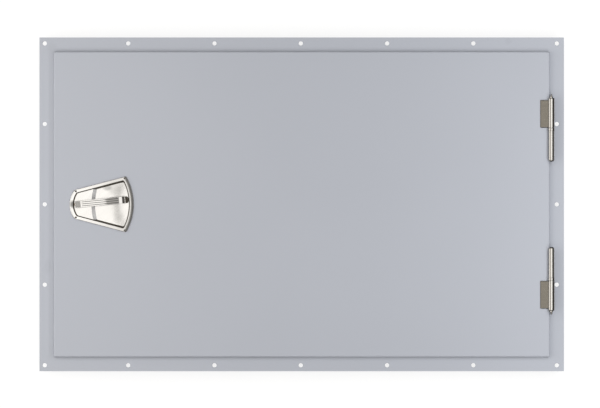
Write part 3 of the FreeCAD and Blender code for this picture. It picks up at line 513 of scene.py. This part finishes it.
def hinge_surface(tree, place, colour, tone, rough):
    """Colour and roughness of a hinge: its seams and other faces that look along the hinge line get
    painted shade, and its smoother barrels a dark band of painted reflection.
    """
    # Painted shade on faces that look along the hinge line, as at the seams between knuckles
    ends = calculate(tree, "ABSOLUTE", facing(tree, "Y"))
    tone = multiply(tree, tone, ramp(tree, ends, start=0.45, end=0.75, low=1.0, high=0.30))
    # Painted reflection: a dark band down the side of the barrels that leans to the hinge side
    band_start = facing_hinges(tree, start=0.14, end=0.24)
    band_end = facing_hinges(tree, start=0.74, end=0.84)
    barrel_reflection_band = calculate(tree, "SUBTRACT", band_start, band_end)
    barrel_tone = multiply(tree, tone, spread(tree, barrel_reflection_band, start=1.0, change=-0.84))
    on_barrel = calculate(tree, "GREATER_THAN", axis_of(tree, place, "X"), BARREL_LEFT)
    leaf = shade_colour(tree, colour, tone)
    barrel = shade_colour(tree, BARREL_STEEL, barrel_tone)
    rough = multiply(tree, rough, spread(tree, on_barrel, start=1.0, change=-0.45))
    return mix_colours(tree, on_barrel, leaf, barrel), rough


def brushed_material(name, finish, turn=0.0, hinge=False):
    """Steel or bronze brushed along one direction; a hinge has its own barrels and seams."""
    colour, line, roughness = finish
    material, tree, shader, place = new_material(name, {"Metallic": 1.0})
    lines = add_brushing(tree, place, turn, line)
    clouds = add_clouds(tree, place, size=0.02, fine_size=0.002)
    tone = spread(tree, lines["Streak"], start=0.78, change=0.30)
    tone = spread(tree, clouds["Cloud"], start=tone, change=0.10)
    rough = spread(tree, lines["Streak"], start=roughness - 0.06, change=0.12)
    if hinge:
        surface, rough = hinge_surface(tree, place, colour, tone, rough)
    else:
        surface = shade_colour(tree, colour, tone)
    finish_surface(tree, shader, surface, rough, lines["Streak"], strength=0.10, depth=0.00005)
    return material


def rubber_material(name):
    """Matt black rubber with a little bloom."""
    material, tree, shader, place = new_material(name)
    clouds = add_clouds(tree, place, size=0.04, fine_size=0.0015)
    colour = shade_colour(tree, RUBBER_BLACK, spread(tree, clouds["Cloud"], start=0.7, change=0.8))
    rough = spread(tree, clouds["Fleck"], start=0.62, change=0.2)
    finish_surface(tree, shader, colour, rough, clouds["Fleck"], strength=0.3, depth=0.0001)
    return material


def floor_material(name, glow, under_glow):
    """Pale seamless paper that glows, most of all to the camera, and is clear from below."""
    material, tree, shader, place = new_material(name, {
        "Roughness": 0.9, "Specular IOR Level": 0.1, "Emission Color": (1.0, 1.0, 1.0, 1.0),
    })
    clouds = add_clouds(tree, place, size=0.8, fine_size=0.02)
    colour = shade_colour(tree, PAPER_WHITE, spread(tree, clouds["Cloud"], start=0.99, change=0.01))
    tree.links.new(colour, shader.inputs["Base Color"])
    seen = tree.nodes.new("ShaderNodeLightPath").outputs["Is Camera Ray"]
    strength = spread(tree, seen, start=under_glow, change=glow - under_glow)
    tree.links.new(strength, shader.inputs["Emission Strength"])
    clear = tree.nodes.new("ShaderNodeBsdfTransparent")
    behind = tree.nodes.new("ShaderNodeNewGeometry").outputs["Backfacing"]
    inputs = {0: behind, 1: shader.outputs["BSDF"], 2: clear.outputs["BSDF"]}
    sides = add_node(tree, "ShaderNodeMixShader", inputs)
    output = next(made for made in tree.nodes if made.type == "OUTPUT_MATERIAL")
    tree.links.new(sides.outputs["Shader"], output.inputs["Surface"])
    return material


def room_world(name, zenith, walls, horizon):
    """A room that is brightest overhead and dim on the hinge side; the camera sees a pale backdrop."""
    world = bpy.data.worlds.new(name)
    world.use_nodes = True
    tree = world.node_tree
    tree.nodes.clear()
    way = tree.nodes.new("ShaderNodeTexCoord").outputs["Generated"]
    overhead = ramp(tree, axis_of(tree, way, "Z"), start=0.62, end=0.90)
    hinge_side = ramp(tree, axis_of(tree, way, "X"), start=0.58, end=0.76)
    room = mix_colours(tree, overhead, mix_colours(tree, hinge_side, walls, horizon), zenith)
    seen = tree.nodes.new("ShaderNodeLightPath").outputs["Is Camera Ray"]
    shown = mix_colours(tree, seen, room, BACKDROP)
    light = add_node(tree, "ShaderNodeBackground", {"Color": shown, "Strength": 1.0})
    add_node(tree, "ShaderNodeOutputWorld", {"Surface": light.outputs["Background"]})
    return world


def bead_mesh(name, paths, radius, seed):
    """Rippled weld beads; a path is a list of (place, outward way) and says if it closes on itself."""
    random = Random(seed)
    work = bmesh.new()
    for path, closed in paths:
        rings = []
        for count, (place, outward) in enumerate(path):
            chance = random.uniform(-RIPPLE_CHANCE, RIPPLE_CHANCE)
            swell = radius * (RIPPLE_LEAST + RIPPLE_SWELL * (count % RIPPLE_RINGS) + chance)
            ring = []
            for step in range(BEAD_SIDES):
                turn = 2.0 * math.pi * step / BEAD_SIDES
                lift = Vector((0.0, 0.0, swell * math.sin(turn)))
                ring.append(work.verts.new(place + swell * math.cos(turn) * outward + lift))
            rings.append(ring)
        pairs = list(zip(rings, rings[1:]))
        if closed:
            pairs.append((rings[-1], rings[0]))
        else:
            work.faces.new(rings[0])
            work.faces.new(rings[-1])
        for near, far in pairs:
            for step in range(BEAD_SIDES):
                after = (step + 1) % BEAD_SIDES
                work.faces.new((near[step], near[after], far[after], far[step]))
    bmesh.ops.recalc_face_normals(work, faces=work.faces)
    for face in work.faces:
        face.smooth = True
    mesh = bpy.data.meshes.new(name)
    work.to_mesh(mesh)
    work.free()
    return mesh


def straight_path(start, end, outward):
    """Ripples along a straight line, open at both ends."""
    count = max(2, round((end - start).length / BEAD_STEP))
    return [(start.lerp(end, step / count), outward) for step in range(count + 1)], False


def neck_path():
    """Ripples round the coaming's outer face, just under the flange."""
    bends = []
    for right, back, quarter in ((1, 1, 0), (-1, 1, 1), (-1, -1, 2), (1, -1, 3)):
        x = (NECK_HIGH.x if right > 0 else NECK_LOW.x) - right * NECK_CORNER
        y = (NECK_HIGH.y if back > 0 else NECK_LOW.y) - back * NECK_CORNER
        centre = Vector((x, y, -NECK_BEAD_DOWN))
        steps = round(NECK_CORNER * math.pi / 2.0 / BEAD_STEP)
        for step in range(steps + 1):
            turn = (quarter + step / steps) * math.pi / 2.0
            outward = Vector((math.cos(turn), math.sin(turn), 0.0))
            bends.append((centre + (NECK_CORNER + NECK_BEAD_OUT) * outward, outward))
    filled = []
    for (place, outward), after in zip(bends, bends[1:] + bends[:1]):
        count = max(1, round((after[0] - place).length / BEAD_STEP))
        filled += [(place.lerp(after[0], step / count), outward) for step in range(count)]
    return filled, True


def stitch_paths(low, high):
    """Short beads along both feet of a stiffener with these corners."""
    half = Vector((0.0, STITCH_HALF, 0.0))
    paths = []
    for edge, way in ((low.x, -1.0), (high.x, 1.0)):
        outward = Vector((way, 0.0, 0.0))
        for stitch in range(-STITCHES_PER_HALF, STITCHES_PER_HALF + 1):
            middle = Vector((edge + way * STITCH_OUT, STITCH_PITCH * stitch, high.z - STITCH_DOWN))
            paths.append(straight_path(middle - half, middle + half, outward))
    return paths


def add_weld(name, body, paths, bead, material):
    """Weld beads as one piece that moves with a body."""
    radius, seed = bead
    weld = bpy.data.objects.new(name, bead_mesh(name, paths, radius, seed))
    bpy.context.scene.collection.objects.link(weld)
    weld.data.materials.append(material)
    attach(weld, body)


def dress(names, material):
    """Puts one material on carried-over nodes."""
    for name in names:
        piece = NODES[name]
        piece.data.materials.clear()
        piece.data.materials.append(material)


def both(*names):
    """The names of pieces that the upper and the lower hinge have alike."""
    return [name + side for name in names for side in ("_upper", "_lower")]


def add_floor(stage):
    """A wide round of paper just under the hatch."""
    work = bmesh.new()
    bmesh.ops.create_circle(work, cap_ends=True, segments=FLOOR_SIDES, radius=FLOOR_RADIUS)
    bmesh.ops.translate(work, verts=work.verts, vec=(0.0, 0.0, CAD_BOX[0].z - FLOOR_GAP))
    mesh = bpy.data.meshes.new("floor")
    work.to_mesh(mesh)
    work.free()
    floor = bpy.data.objects.new("floor", mesh)
    bpy.context.scene.collection.objects.link(floor)
    mesh.materials.append(floor_material("floor_paper", stage.floor_glow, stage.under_glow))


def add_softbox(box, glow, colour):
    """A rectangular light at a place, turned to a target, that the camera doesn't see."""
    name, place, target, width, height = box
    light = bpy.data.lights.new(name, "AREA")
    light.shape = "RECTANGLE"
    light.size = width
    light.size_y = height
    light.energy = glow * math.pi * width * height
    light.color = colour
    lamp = bpy.data.objects.new(name, light)
    lamp.location = place
    lamp.rotation_euler = (Vector(target) - Vector(place)).to_track_quat("-Z", "Y").to_euler()
    lamp.visible_camera = False
    bpy.context.scene.collection.objects.link(lamp)


def add_camera(stage):
    """A camera that looks straight down, as far above the flange as the view's width asks."""
    camera = bpy.data.cameras.new("camera")
    camera.lens = stage.lens
    camera.sensor_width = SENSOR_WIDTH
    eye = bpy.data.objects.new("camera", camera)
    distance = stage.view_width * stage.lens / SENSOR_WIDTH
    eye.location = (stage.view_x, stage.view_y, FLANGE_TOP + distance)
    bpy.context.scene.collection.objects.link(eye)
    bpy.context.scene.camera = eye


class HATCH_OT_paint(Operator):
    """Paint the flange, the lid and the sheet metal under them"""

    bl_idname = "hatch.paint"
    bl_label = "Painted sheet"

    def execute(self, context):
        paint = context.scene.hatch_paint
        dress(["deck_flange", "coaming"], paint_material("frame_paint", paint, FLANGE_MARKS))
        dress(
            ["lid_panel", "gasket_channel", "stiffener_left", "stiffener_middle", "stiffener_right"],
            paint_material("lid_paint", paint, ()),
        )
        return {"FINISHED"}


class HATCH_OT_latch(Operator):
    """Polish the dish and the lever, and finish the dish's screws"""

    bl_idname = "hatch.latch"
    bl_label = "Latch dish and lever"

    def execute(self, context):
        metal = context.scene.hatch_metal
        dress(["latch_pan"], polished_material("dish_steel", metal, turn=0.9, tones=dish_tones))
        dress(["lever"], polished_material("lever_steel", metal, turn=1.57, tones=lever_tones))
        dress(["pan_screws"], brushed_material("screw_steel", SCREW_FINISH))
        return {"FINISHED"}


class HATCH_OT_hinges(Operator):
    """Finish the two hinges in brushed steel"""

    bl_idname = "hatch.hinges"
    bl_label = "Hinges"

    def execute(self, context):
        metal = context.scene.hatch_metal
        finish = (metal.brushed, metal.brush_width, HINGE_ROUGHNESS)
        steel = brushed_material("hinge_steel", finish, turn=1.571, hinge=True)
        dress(both("hinge_knuckle", "hinge_leaf", "hinge_ring", "hinge_pin", "grease_nipple"), steel)
        return {"FINISHED"}


class HATCH_OT_welds(Operator):
    """Lay the weld beads of the neck, the hinge webs and the stiffeners, after the paint and the hinges"""

    bl_idname = "hatch.welds"
    bl_label = "Weld beads"

    def execute(self, context):
        frame_paint = bpy.data.materials["frame_paint"]
        lid_paint = bpy.data.materials["lid_paint"]
        hinge_steel = bpy.data.materials["hinge_steel"]
        add_weld("neck_weld", "frame", [neck_path()], NECK_BEAD, frame_paint)
        for side, way in (("upper", 1.0), ("lower", -1.0)):
            start = Vector((WEB_FACE, way * WEB_BEAD_START, FLANGE_TOP + WEB_BEAD_LIFT))
            end = Vector((WEB_FACE, way * WEB_BEAD_END, FLANGE_TOP + WEB_BEAD_LIFT))
            path = straight_path(start, end, Vector((1.0, 0.0, 0.0)))
            add_weld("web_weld_" + side, "frame", [path], WEB_BEAD, hinge_steel)
        for side in ("left", "middle", "right"):
            low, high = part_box("stiffener_" + side)
            paths = stitch_paths(low, high)
            add_weld("stitches_" + side, "lid", paths, STITCH_BEAD, lid_paint)
        return {"FINISHED"}


class HATCH_OT_latch_works(Operator):
    """Finish the bolt, crank, case, keeper and fasteners under the lid"""

    bl_idname = "hatch.latch_works"
    bl_label = "Latch works"

    def execute(self, context):
        dress([
            "keeper", "keeper_screws", "keeper_nuts", "latch_case", "case_studs", "case_nuts", "pan_nuts",
            "crank", "crank_pin", "spindle", "spindle_washer", "spindle_nut", "latch_bolt",
        ], brushed_material("zinc_steel", ZINC_FINISH, turn=0.6))
        dress(["spindle_bush", "bush_locknut"], brushed_material("bronze", BRONZE_FINISH))
        return {"FINISHED"}


class HATCH_OT_seals(Operator):
    """Finish the gasket and the dish's pad in black rubber"""

    bl_idname = "hatch.seals"
    bl_label = "Seals"

    def execute(self, context):
        dress(["gasket", "pan_pad"], rubber_material("black_rubber"))
        return {"FINISHED"}


class HATCH_OT_stage(Operator):
    """Set the hatch on a pale floor with a camera above it and soft light from both sides"""

    bl_idname = "hatch.stage"
    bl_label = "Studio"

    def execute(self, context):
        stage = context.scene.hatch_stage
        add_floor(stage)
        context.scene.world = room_world("room", stage.overhead, stage.walls, stage.horizon)
        add_softbox(LEFT_PANEL, stage.left_glow, WARM_LIGHT)
        add_softbox(RIGHT_PANEL, stage.right_glow, COOL_LIGHT)
        add_softbox(LEFT_WALL, stage.wall_glow, WARM_LIGHT)
        add_camera(stage)
        context.scene.view_settings.view_transform = "Standard"
        return {"FINISHED"}


class HATCH_PT_sidebar(Panel):
    """Sizes, colours and steps of the hatch"""

    bl_idname = "HATCH_PT_sidebar"
    bl_label = "Steel deck hatch"
    bl_space_type = "VIEW_3D"
    bl_region_type = "UI"
    bl_category = "Hatch"

    def draw(self, context):
        scene = context.scene
        for settings in (scene.hatch_paint, scene.hatch_metal, scene.hatch_stage):
            column = self.layout.column()
            for name in settings.__annotations__:
                column.prop(settings, name)
        for operator in OPERATORS:
            self.layout.operator(operator.bl_idname)


OPERATORS = (
    HATCH_OT_paint,
    HATCH_OT_latch,
    HATCH_OT_hinges,
    HATCH_OT_welds,
    HATCH_OT_latch_works,
    HATCH_OT_seals,
    HATCH_OT_stage,
)
CLASSES = (HatchPaint, HatchMetal, HatchStage) + OPERATORS + (HATCH_PT_sidebar,)


def register():
    for made in CLASSES:
        bpy.utils.register_class(made)
    bpy.types.Scene.hatch_paint = PointerProperty(type=HatchPaint)
    bpy.types.Scene.hatch_metal = PointerProperty(type=HatchMetal)
    bpy.types.Scene.hatch_stage = PointerProperty(type=HatchStage)


def unregister():
    del bpy.types.Scene.hatch_stage
    del bpy.types.Scene.hatch_metal
    del bpy.types.Scene.hatch_paint
    for made in reversed(CLASSES):
        bpy.utils.unregister_class(made)


def main():
    register()
    bpy.ops.hatch.paint()
    bpy.ops.hatch.latch()
    bpy.ops.hatch.hinges()
    bpy.ops.hatch.welds()
    bpy.ops.hatch.latch_works()
    bpy.ops.hatch.seals()
    bpy.ops.hatch.stage()


if __name__ == "__main__":
    main()
